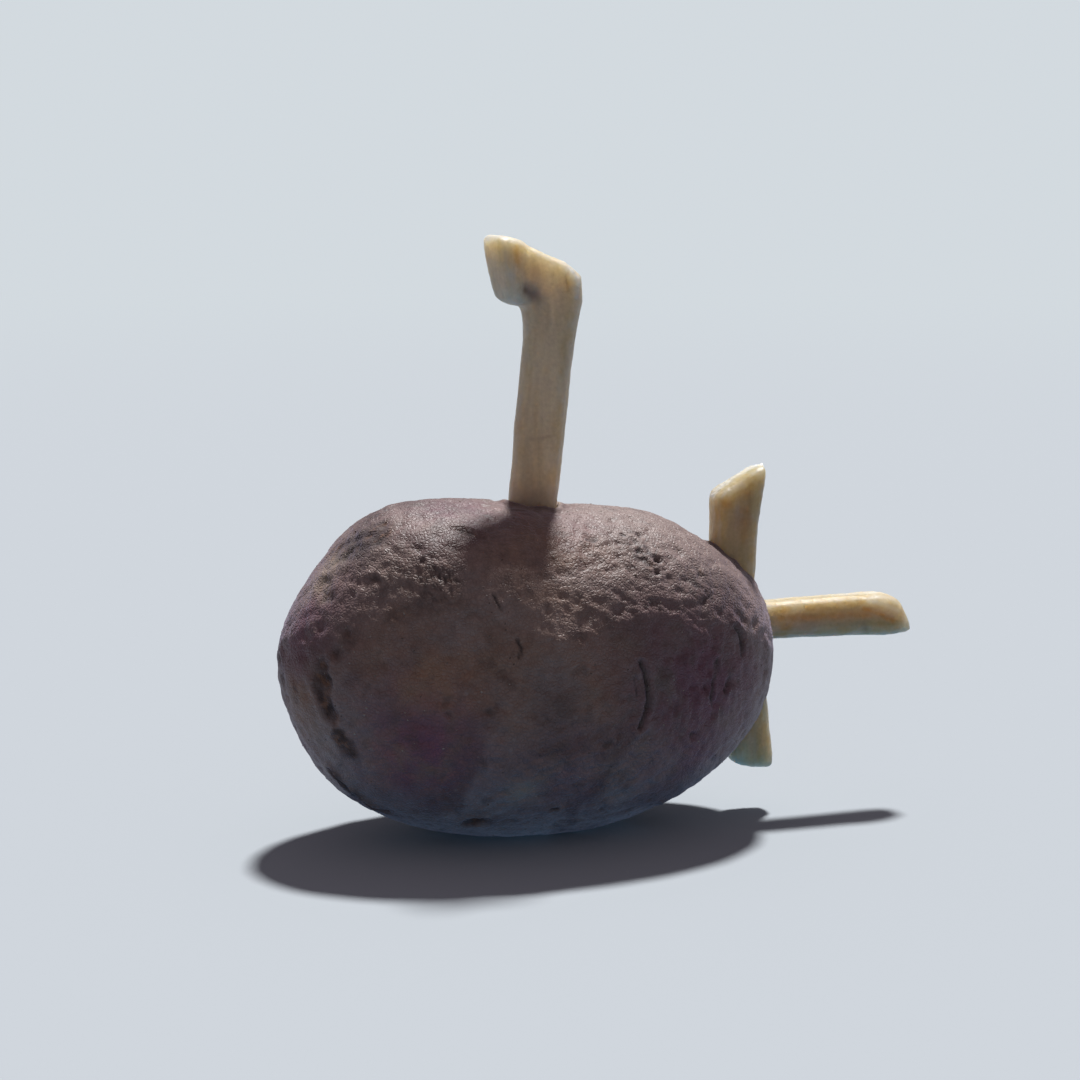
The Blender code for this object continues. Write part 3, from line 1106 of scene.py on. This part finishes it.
@dataclass
class Potato:
    """The potato: its skin as a fine closed sheet, with a socket for each fry."""

    solid: bpy.types.Object
    fries: list[bpy.types.Object]
    squares: int = 118
    waves: int = 13
    socket_gap: float = 0.35 * MM
    resting_flat: float = 0.05 * MM
    hidden_drop: float = 0.7 * MM
    lip_height: float = 0.55 * MM
    lip_width: float = 0.8 * MM
    lip_place: float = 0.9 * MM
    furrow_place: float = 2.9 * MM
    lip_reach: float = 4.0 * MM
    bare_rim: float = 0.3 * MM
    scab_place: float = 1.5 * MM
    scab_width: float = 0.5 * MM
    socket_paleness: float = 0.85
    wall_depth: float = 0.1 * MM
    skin_tones: tuple[Tone, ...] = (Tone.SCAB, Tone.DIRT_AND_SHADE, Tone.PALE, Tone.PURPLE, Tone.WARM)
    unevenness: tuple[tuple[Grain, float], ...] = (
        (Grain(15 * MM, 11, 2), 0.30 * MM),
        (Grain(5.5 * MM, 17, 2), 0.11 * MM),
        (Grain(2.6 * MM, 23, 1, (1.5, 1.5, 0.8)), 0.05 * MM),
    )
    finish: SkinFinish = field(default_factory=SkinFinish)

    def ball(self) -> bpy.types.Mesh:
        """A ball of even squares, closed, with a radius of one.

        Returns:
            The ball's mesh.
        """
        work = bmesh.new()
        bmesh.ops.create_cube(work, size=2.0)
        bmesh.ops.subdivide_edges(
            work, edges=work.edges[:], cuts=self.squares - 1, use_grid_fill=True
        )
        mesh = bpy.data.meshes.new("potato_skin")
        work.to_mesh(mesh)
        work.free()
        even = np.tan(coordinates(mesh) * math.pi / 4)
        place_vertices(mesh, even / np.linalg.norm(even, axis=1)[:, None])
        return mesh

    def resting_points(self, solid: np.ndarray, middle: np.ndarray) -> np.ndarray:
        """Points that carry the skin on, just under the resting spot.

        Args:
            solid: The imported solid's vertices.
            middle: The potato's middle.

        Returns:
            An (n, 3) array of points that bow below the resting plane.
        """
        rim = solid[solid[:, 2] < self.resting_flat]
        centre, half = (rim.max(0) + rim.min(0)) / 2, (rim.max(0) - rim.min(0)) / 2
        steps = np.linspace(-1.0, 1.0, 13)
        grid = np.array([(u, v) for u in steps for v in steps if u * u + v * v < 0.9])
        sunk = -self.hidden_drop * (1.0 - (grid**2).sum(1))
        return np.column_stack([centre[:2] + grid * half[:2], sunk])

    def sheet(self, mesh: bpy.types.Mesh) -> SkinSheet:
        """Draws the ball out to the potato's smooth shape.

        Args:
            mesh: The ball, which takes the smooth shape.

        Returns:
            The sheet to sculpt.
        """
        solid = coordinates(merged_copy(self.solid, "potato_solid"))
        middle = (solid.max(0) + solid.min(0)) / 2
        guides = np.vstack([solid, self.resting_points(solid, middle)])
        shape = SkinShape.fitted(guides, middle, self.waves)
        way = coordinates(mesh)
        skin = middle + way * shape.radius(way)[:, None]
        tones = {tone: np.zeros(len(way)) for tone in self.skin_tones}
        return SkinSheet(shape, way, skin, np.zeros(len(way)), tones)

    def sculpt(self, sheet: SkinSheet) -> None:
        """Gives the sheet its unevenness, every mark, and the lips of its sockets.

        Args:
            sheet: The sheet, which is changed.
        """
        for grain, height in self.unevenness:
            sheet.rise += height * grain.at(sheet.skin)
        for mark in NEAR_MARKS + FAR_MARKS:
            mark.press(sheet)
        for fry in self.fries:
            self.raise_lip(sheet, tree_of(merged_copy(fry, "lip_guide")))

    def raise_lip(self, sheet: SkinSheet, fry: BVHTree) -> None:
        """Lifts and tears the skin round a fry.

        Args:
            sheet: The sheet to sculpt.
            fry: The fry's search tree.
        """
        away = np.full(len(sheet.skin), self.lip_reach)
        for number, place in enumerate(sheet.skin):
            found = fry.find_nearest(Vector(place), self.lip_reach)
            if found[0] is not None:
                away[number] = found[3]
        ragged = away + self.lip_place * Grain(2.4 * MM, 31, 3).at(sheet.skin)
        uneven = 0.75 + 0.9 * Grain(4.0 * MM, 37).at(sheet.skin)
        sheet.rise += self.lip_height * uneven * hill(ragged - self.lip_place, self.lip_width)
        sheet.rise -= 0.5 * self.lip_height * hill(ragged - self.furrow_place, self.lip_width)
        sheet.deepen(Tone.PALE, 0.9 * smooth_step(ragged, self.lip_place, self.bare_rim))
        sheet.deepen(Tone.SCAB, 0.5 * hill(ragged - self.scab_place, self.scab_width))

    def cut_sockets(self, piece: bpy.types.Object) -> None:
        """Cuts a socket for every fry, a little wider than the fry.

        Args:
            piece: The potato.
        """
        work = bmesh.new()
        for fry in self.fries:
            work.from_mesh(merged_copy(fry, "socket"))
        for vertex in work.verts:
            vertex.co += vertex.normal * self.socket_gap
        cutter_mesh = bpy.data.meshes.new("sockets")
        work.to_mesh(cutter_mesh)
        work.free()
        cutter = link("sockets", cutter_mesh)
        boolean = piece.modifiers.new("sockets", "BOOLEAN")
        boolean.operation = "DIFFERENCE"
        boolean.solver = "EXACT"
        boolean.object = cutter
        bake_modifiers(piece)
        walls = tree_of(cutter_mesh)
        places = coordinates(piece.data)
        inside = [walls.find_nearest(Vector(p), self.wall_depth)[0] is not None for p in places]
        pale = np.zeros(len(places), np.float32)
        piece.data.attributes[Tone.PALE.value].data.foreach_get("value", pale)
        paint(piece.data, Tone.PALE, np.maximum(pale, self.socket_paleness * np.array(inside)))
        bpy.data.objects.remove(cutter)

    def build(self) -> bpy.types.Object:
        """Builds the potato.

        Returns:
            The finished piece, not yet riding on a body.
        """
        mesh = self.ball()
        sheet = self.sheet(mesh)
        place_vertices(mesh, sheet.skin)
        self.sculpt(sheet)
        places = sheet.skin + normals(mesh) * sheet.rise[:, None]
        places[:, 2] = np.maximum(places[:, 2], 0.0)
        place_vertices(mesh, places)
        for tone, values in sheet.tones.items():
            paint(mesh, tone, values)
        piece = link("potato_whole", mesh)
        self.cut_sockets(piece)
        piece.data.shade_smooth()
        piece.data.materials.clear()
        piece.data.materials.append(self.finish.material())
        return piece


@dataclass
class SkinFlecks:
    """Corky specks and scurf scattered over the skin."""

    skin: bpy.types.Object
    density: float = 38000.0
    gap: float = 1.1 * MM
    size: float = 0.27 * MM
    seed: int = 5
    clear_of_table: float = 1.0 * MM
    clear_of_fries: float = 1.2 * MM
    flatness: float = 0.42
    smallest: Triple = (0.35, 0.35, 0.5)
    largest: Triple = (1.15, 0.9, 1.1)
    finish: FleckFinish = field(default_factory=FleckFinish)

    def speck(self) -> bpy.types.Object:
        """One speck: a low uneven button of a few dozen faces.

        Returns:
            The speck, which is only a pattern for the others.
        """
        work = bmesh.new()
        bmesh.ops.create_icosphere(work, subdivisions=1, radius=1.0)
        for vertex in work.verts:
            side = 1.0 + 0.25 * math.sin(3.0 * math.atan2(vertex.co.y, vertex.co.x))
            vertex.co.x *= side
            vertex.co.z *= self.flatness
        mesh = bpy.data.meshes.new("speck")
        work.to_mesh(mesh)
        work.free()
        return link("speck", mesh)

    def mask(self, fries: list[bpy.types.Object]) -> None:
        """Paints where specks may stand: on the skin, clear of the fries and of the table.

        Args:
            fries: The fries' solids.
        """
        places = coordinates(self.skin.data)
        free = (places[:, 2] > self.clear_of_table).astype(float)
        for fry in fries:
            walls = tree_of(merged_copy(fry, "fleck_guide"))
            for number, place in enumerate(places):
                if free[number] and walls.find_nearest(Vector(place), self.clear_of_fries)[0]:
                    free[number] = 0.0
        paint(self.skin.data, Tone.BARE, free)

    def scatter_tree(self, speck: bpy.types.Object) -> bpy.types.NodeTree:
        """Builds the node tree that scatters the specks.

        Args:
            speck: The object that is repeated.

        Returns:
            The tree, with named inputs for its sizes and its seed.
        """
        tree = bpy.data.node_groups.new("skin_flecks", "GeometryNodeTree")
        face = tree.interface
        face.new_socket("Geometry", in_out="INPUT", socket_type="NodeSocketGeometry")
        for name in ("Density", "Gap", "Size"):
            face.new_socket(name, in_out="INPUT", socket_type="NodeSocketFloat")
        face.new_socket("Seed", in_out="INPUT", socket_type="NodeSocketInt")
        face.new_socket("Finish", in_out="INPUT", socket_type="NodeSocketMaterial")
        face.new_socket("Geometry", in_out="OUTPUT", socket_type="NodeSocketGeometry")
        board = Board(tree)
        given = board.add("NodeGroupInput").outputs
        bare = board.add("GeometryNodeInputNamedAttribute", {"Name": Tone.BARE.value}, data_type="FLOAT")
        spread = {
            "Mesh": given["Geometry"],
            "Distance Min": given["Gap"],
            "Density Max": given["Density"],
            "Density Factor": bare.outputs["Attribute"],
            "Seed": given["Seed"],
        }
        points = board.add("GeometryNodeDistributePointsOnFaces", spread, distribute_method="POISSON")
        limits = {"Min": self.smallest, "Max": self.largest, "Seed": given["Seed"]}
        scale = board.add("FunctionNodeRandomValue", limits, data_type="FLOAT_VECTOR")
        sizes = {0: scale.outputs["Value"], "Scale": given["Size"]}
        stand = {
            "Points": points.outputs["Points"],
            "Instance": board.add("GeometryNodeObjectInfo", {"Object": speck}).outputs["Geometry"],
            "Rotation": points.outputs["Rotation"],
            "Scale": board.add("ShaderNodeVectorMath", sizes, operation="SCALE").outputs["Vector"],
        }
        placed = board.add("GeometryNodeInstanceOnPoints", stand)
        spin = board.add("FunctionNodeRandomValue", {3: math.tau}, data_type="FLOAT")
        axis = board.add("ShaderNodeCombineXYZ", {"Z": spin.outputs[1]})
        turn = {"Instances": placed.outputs["Instances"], "Rotation": axis.outputs["Vector"]}
        turned = board.add("GeometryNodeRotateInstances", turn)
        real = board.add("GeometryNodeRealizeInstances", {"Geometry": turned.outputs["Instances"]})
        dressed = {"Geometry": real.outputs["Geometry"], "Material": given["Finish"]}
        finish = board.add("GeometryNodeSetMaterial", dressed)
        board.add("NodeGroupOutput", {"Geometry": finish.outputs["Geometry"]})
        return tree

    def build(self, fries: list[bpy.types.Object]) -> bpy.types.Object:
        """Scatters the specks and turns them into a plain mesh.

        Args:
            fries: The fries' solids, which the specks keep clear of.

        Returns:
            The finished piece, not yet riding on a body.
        """
        self.mask(fries)
        speck = self.speck()
        tree = self.scatter_tree(speck)
        material = self.finish.material()
        carrier = link("fleck_carrier", self.skin.data.copy())
        nodes = carrier.modifiers.new("skin_flecks", "NODES")
        nodes.node_group = tree
        values = {
            "Density": self.density,
            "Gap": self.gap,
            "Size": self.size,
            "Seed": self.seed,
            "Finish": material,
        }
        for item in tree.interface.items_tree:
            if item.in_out == "INPUT" and item.name in values:
                nodes[item.identifier] = values[item.name]
        bake_modifiers(carrier)
        piece = link("skin_flecks", carrier.data)
        bpy.data.objects.remove(carrier)
        bpy.data.objects.remove(speck)
        piece.data.shade_smooth()
        return piece


# The fries


@dataclass(frozen=True)
class Touch:
    """A crust, a dent, a crease or a patch of colour along a line on a fry, in millimetres."""

    line: tuple[Triple, ...]
    width: float
    height: float = 0.0
    tone: Tone | None = None
    strength: float = 0.0
    crumbs: float = 0.0

    def press(self, places: np.ndarray, tones: dict[Tone, np.ndarray]) -> np.ndarray:
        """Works out the mark's relief and tints the flesh.

        Args:
            places: The fry's vertices.
            tones: The fry's tones, which are changed.

        Returns:
            How far each vertex moves outwards.
        """
        width, height, crumbs = self.width * MM, self.height * MM, self.crumbs * MM
        away = distance_to_path(places, np.array(self.line) * MM)
        away = away + 0.35 * width * Grain(1.1 * width, 131, 3).at(places)
        here = hill(away, width)
        if self.tone is not None:
            tones[self.tone] = np.maximum(tones[self.tone], self.strength * here)
        crumble = np.maximum(Grain(0.9 * MM, 137, 3).at(places), -0.2)
        return here * (height + crumbs * crumble)


@dataclass
class DressedFry:
    """One fry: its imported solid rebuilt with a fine, soft cooked surface."""

    solid: bpy.types.Object
    name: str
    finish: FleshFinish
    touches: tuple[Touch, ...] = ()
    seed: int = 1
    voxel: float = 0.30 * MM
    sway: float = 0.20 * MM
    crinkle: float = 0.09 * MM
    edge_reach: float = 0.16 * MM
    crust: float = 0.45
    gold: float = 0.45
    soft_rounds: int = 40

    def fine_mesh(self) -> bpy.types.Object:
        """The solid as an even fine mesh, relaxed until its steps are gone.

        Returns:
            The fry, plain so far.
        """
        piece = link(self.name, merged_copy(self.solid, self.name))
        remesh = piece.modifiers.new("fine", "REMESH")
        remesh.mode = "VOXEL"
        remesh.voxel_size = self.voxel
        bake_modifiers(piece)
        settle(piece.data, 4, 0.5)
        return piece

    def edges(self, piece: bpy.types.Object) -> np.ndarray:
        """How far each vertex stands out from a much softer copy: high along edges and ends.

        Args:
            piece: The fine fry.

        Returns:
            One number for each vertex, 1 on the sharpest edges.
        """
        soft = piece.data.copy()
        settle(soft, self.soft_rounds, 0.6)
        gap = ((coordinates(piece.data) - coordinates(soft)) * normals(piece.data)).sum(1)
        bpy.data.meshes.remove(soft)
        return np.clip(gap / self.edge_reach, -1.0, 1.0)

    def build(self) -> bpy.types.Object:
        """Builds the fry.

        Returns:
            The finished piece, not yet riding on a body.
        """
        piece = self.fine_mesh()
        places = coordinates(piece.data)
        edge = self.edges(piece)
        tones = {tone: np.zeros(len(places)) for tone in (Tone.PALE, Tone.GOLD, Tone.DIRT_AND_SHADE)}
        patchy = Grain(3.5 * MM, self.seed + 5, 3).at(places)
        tones[Tone.PALE] = self.crust * smooth_step(edge + 0.8 * patchy, 0.45, 1.3)
        tones[Tone.GOLD] = self.gold * smooth_step(edge - 0.9 * patchy, 0.2, 1.1)
        rise = self.sway * Grain(7 * MM, self.seed, 2).at(places)
        rise += self.crinkle * Grain(1.5 * MM, self.seed + 9, 3).at(places)
        for touch in self.touches:
            rise += touch.press(places, tones)
        place_vertices(piece.data, places + normals(piece.data) * rise[:, None])
        for tone, values in tones.items():
            paint(piece.data, tone, values)
        piece.data.shade_smooth()
        piece.data.materials.clear()
        piece.data.materials.append(self.finish.material())
        return piece


PERISCOPE_TOUCHES = (
    Touch(((-0.9, -3.3, 117.2), (-1.7, -3.9, 114.4), (-1.5, -4.0, 110.0)), 1.2, -0.35),
    # A dent in the inner corner of the periscope's bend, darkened with painted shade
    Touch(((-1.6, -3.9, 109.2), (-0.2, -3.8, 108.2)), 1.3, -0.35, Tone.DIRT_AND_SHADE, 0.75),
    Touch(((-1.2, 3.0, 117.2), (-0.9, -3.3, 117.2)), 1.0, -0.5),
    Touch(((6.9, -4.7, 113.4), (8.0, -5.1, 112.2), (8.5, -5.4, 110.6)), 1.1, 0.15, Tone.PALE, 1.0, 0.8),
    Touch(((8.5, -5.4, 110.6), (8.1, -5.4, 108.0)), 0.8, 0.1, Tone.PALE, 0.9, 0.5),
    Touch(((6.1, -4.8, 112.9), (6.4, -5.3, 109.4)), 0.35, -0.35, Tone.DIRT_AND_SHADE, 0.25),
    Touch(((-4.2, -3.7, 118.0), (-4.0, -4.3, 114.6)), 1.0, 0.2, Tone.GOLD, 0.8),
    Touch(((-8.0, 1.1, 119.5), (-7.2, 2.8, 119.6)), 0.9, 0.3, Tone.PALE, 1.0),
    Touch(((-3.2, 0.5, 80.2), (-0.5, -4.2, 80.0), (2.5, -4.9, 80.4)), 0.35, -0.1, Tone.DIRT_AND_SHADE, 0.25),
    # A darker band round the periscope's foot: partly stain, partly painted shade where it meets the potato
    Touch(((-3.0, -3.0, 67.5), (3.5, -5.0, 67.0)), 3.4, 0.0, Tone.DIRT_AND_SHADE, 0.45),
)
UPPER_FIN_TOUCHES = (
    Touch(
        ((40.4, 0.5, 66.3), (44.3, 1.0, 70.0), (47.0, 0.5, 71.8), (50.8, 0.0, 72.7)),
        1.5, 0.0, Tone.PALE, 0.95, 0.8,
    ),
    Touch(((40.6, -3.2, 66.6), (44.0, -3.4, 70.4), (48.0, -3.2, 72.0)), 0.7, 0.1, Tone.PALE, 0.9, 0.5),
    Touch(((41.9, -3.6, 65.2),), 1.5, 0.0, Tone.GOLD, 1.0),
    Touch(((46.0, -4.2, 67.0), (45.6, -4.2, 56.0)), 1.4, 0.0, Tone.GOLD, 0.6),
)
TAIL_TOUCHES = (
    Touch(((55.4, -4.1, 38.6),), 1.5, -0.1, Tone.GOLD, 1.0),
    Touch(((53.0, -3.6, 36.8), (60.0, -3.7, 36.6)), 1.2, 0.0, Tone.GOLD, 0.7),
    Touch(((54.0, -4.2, 40.6), (66.0, -4.2, 40.3), (75.0, -4.2, 39.9)), 0.8, 0.1, Tone.GOLD, 0.75),
    Touch(((74.5, -3.8, 43.2), (78.4, -4.1, 42.2), (81.5, -4.0, 40.6)), 0.6, 0.22, Tone.PALE, 0.5, 0.3),
    Touch(((73.5, -3.9, 41.6), (77.0, -4.1, 40.4), (80.5, -4.0, 38.6)), 0.6, -0.35, Tone.GOLD, 0.9),
    Touch(((73.6, -3.6, 38.6), (74.2, -3.7, 36.6)), 0.7, -0.3, Tone.DIRT_AND_SHADE, 0.35),
    Touch(((76.2, -3.7, 37.8), (78.6, -3.6, 36.9)), 1.5, 0.35, Tone.GOLD, 0.5),
    Touch(((69.5, 0.0, 43.9), (80.0, 0.0, 44.2)), 1.4, 0.0, Tone.PALE, 0.4, 0.35),
)
LOWER_FIN_TOUCHES = (
    Touch(((49.5, -3.4, 9.6), (49.8, 3.4, 9.6)), 1.2, 0.0, Tone.PALE, 0.5, 0.35),
    Touch(((47.0, -3.9, 17.0),), 1.6, 0.0, Tone.GOLD, 0.6),
)


# The studio


@dataclass
class Studio:
    """The table, the lights and the camera."""

    azimuth: float = -20.0
    elevation: float = 8.0
    distance: float = 0.514
    lens: float = 85.0
    sensor: float = 36.0
    target: Triple = (0.00234, 0.0, 0.05906)
    clip: tuple[float, float] = (0.01, 200.0)
    table_radius: float = 9.0
    table_drop: float = 0.05 * MM
    round_steps: int = 96
    sun_from: Triple = (0.23, 0.36, 0.91)
    sun_strength: float = 5.0
    sun_softness: float = 6.0
    sky: Colour = (0.195, 0.175, 0.205)
    horizon: Colour = (0.235, 0.205, 0.205)
    below: Colour = (0.05, 0.25, 0.50)
    horizon_fade: tuple[float, float] = (0.02, 0.6)
    below_fade: tuple[float, float] = (-0.15, -0.75)
    backdrop_height: float = 12.0
    backdrop_foot: float = -1.0
    backdrop_share: float = 0.98

    def table(self) -> None:
        """A wide pale table top, which throws no light back up."""
        bpy.ops.mesh.primitive_circle_add(
            vertices=self.round_steps, radius=self.table_radius, fill_type="NGON"
        )
        table = bpy.context.active_object
        table.name = "table"
        table.location.z = -self.table_drop
        table.visible_diffuse = False
        table.data.materials.append(TableFinish().material())

    def backdrop(self) -> None:
        """A far plain wall of the table's own tone, seen only by the camera."""
        bpy.ops.mesh.primitive_cylinder_add(
            vertices=self.round_steps,
            radius=self.backdrop_share * self.table_radius,
            depth=self.backdrop_height,
            end_fill_type="NOTHING",
        )
        wall = bpy.context.active_object
        wall.name = "backdrop"
        wall.location.z = self.backdrop_height / 2 + self.backdrop_foot
        for ray in ("diffuse", "glossy", "transmission", "volume_scatter", "shadow"):
            setattr(wall, "visible_" + ray, False)
        material, board, shader = principled("backdrop")
        looks = {
            "Base Color": rgba(BLACK),
            "Specular IOR Level": 0.0,
            "Emission Color": rgba(TableFinish.far),
            "Emission Strength": 1.0,
        }
        board.feed(shader, looks)
        wall.data.materials.append(material)

    def lights(self) -> None:
        """One soft light from above and behind, and an even sky that is cooler from below."""
        lamp = bpy.data.lights.new("key", "SUN")
        lamp.energy = self.sun_strength
        lamp.angle = math.radians(self.sun_softness)
        key = bpy.data.objects.new("key", lamp)
        bpy.context.scene.collection.objects.link(key)
        key.rotation_euler = Vector(self.sun_from).to_track_quat("Z", "Y").to_euler()
        world = bpy.data.worlds.new("soft_sky")
        world.use_nodes = True
        bpy.context.scene.world = world
        board = Board(world.node_tree)
        sight = board.add("ShaderNodeTexCoord").outputs["Generated"]
        height = board.add("ShaderNodeSeparateXYZ", {0: sight}).outputs["Z"]
        up = board.mix(board.window(height, *self.horizon_fade), self.horizon, self.sky)
        whole = board.mix(board.window(height, *self.below_fade), up, self.below)
        board.feed(world.node_tree.nodes["Background"], {"Color": whole})

    def camera(self) -> None:
        """The camera, level, looking at the middle of the submarine."""
        turn, lift = math.radians(self.azimuth), math.radians(self.elevation)
        flat = math.cos(lift)
        back = Vector((math.sin(turn) * flat, -math.cos(turn) * flat, math.sin(lift)))
        lens = bpy.data.cameras.new("camera")
        lens.lens = self.lens
        lens.sensor_width = self.sensor
        lens.clip_start, lens.clip_end = self.clip
        camera = bpy.data.objects.new("camera", lens)
        camera.location = Vector(self.target) + back * self.distance
        camera.rotation_euler = back.to_track_quat("Z", "Y").to_euler()
        bpy.context.scene.collection.objects.link(camera)
        bpy.context.scene.camera = camera

    def build(self) -> None:
        """Builds the table, the lights and the camera."""
        self.table()
        self.backdrop()
        self.lights()
        self.camera()
        bpy.context.scene.view_settings.view_transform = "Standard"


def hand_over(piece: bpy.types.Object, slot: Slot, *nodes: str) -> None:
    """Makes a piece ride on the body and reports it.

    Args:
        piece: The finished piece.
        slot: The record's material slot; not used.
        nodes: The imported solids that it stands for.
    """
    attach(piece, BODY)
    if nodes:
        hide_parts(*nodes)
    log.info("%s: %d faces", piece.name, len(piece.data.polygons))


def main() -> None:
    """Builds the potato, its flecks, the four fries and the studio."""
    logging.basicConfig(level=logging.INFO, format="%(message)s")
    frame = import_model()
    nodes = frame["nodes"]
    fry_nodes = [nodes[name] for name in sorted(nodes) if name != "potato"]
    potato = Potato(nodes["potato"], fry_nodes).build()
    hand_over(potato, Slot.SKIN, "potato")
    hand_over(SkinFlecks(potato).build(fry_nodes), Slot.SKIN)
    upright, level = (1.0, 1.0, 0.14), (0.14, 1.0, 1.0)
    dressed = (
        DressedFry(
            nodes["periscope_fry"], "periscope_strip",
            # The periscope's flesh is paler than the other fries': painted light that brightens its shaded
            # stem
            FleshFinish(
                "periscope_flesh", upright, body=(0.63, 0.54, 0.37), cream=(0.70, 0.62, 0.47),
                golden=(0.62, 0.45, 0.20), olive=(0.53, 0.48, 0.27), blush=(0.58, 0.46, 0.35),
            ),
            PERISCOPE_TOUCHES, seed=201,
        ),
        DressedFry(
            nodes["upper_fin_fry"], "upper_fin_strip",
            FleshFinish("upper_fin_flesh", upright, body=(0.52, 0.44, 0.25)), UPPER_FIN_TOUCHES, seed=211,
        ),
        DressedFry(
            nodes["tail_fry"], "tail_strip", FleshFinish("tail_flesh", level), TAIL_TOUCHES, seed=221
        ),
        DressedFry(
            nodes["lower_fin_fry"], "lower_fin_strip",
            FleshFinish("lower_fin_flesh", upright, body=(0.40, 0.42, 0.30)), LOWER_FIN_TOUCHES, seed=231,
        ),
    )
    for fry in dressed:
        hand_over(fry.build(), Slot.FLESH, fry.solid.name)
    Studio().build()


if __name__ == "__main__":
    main()
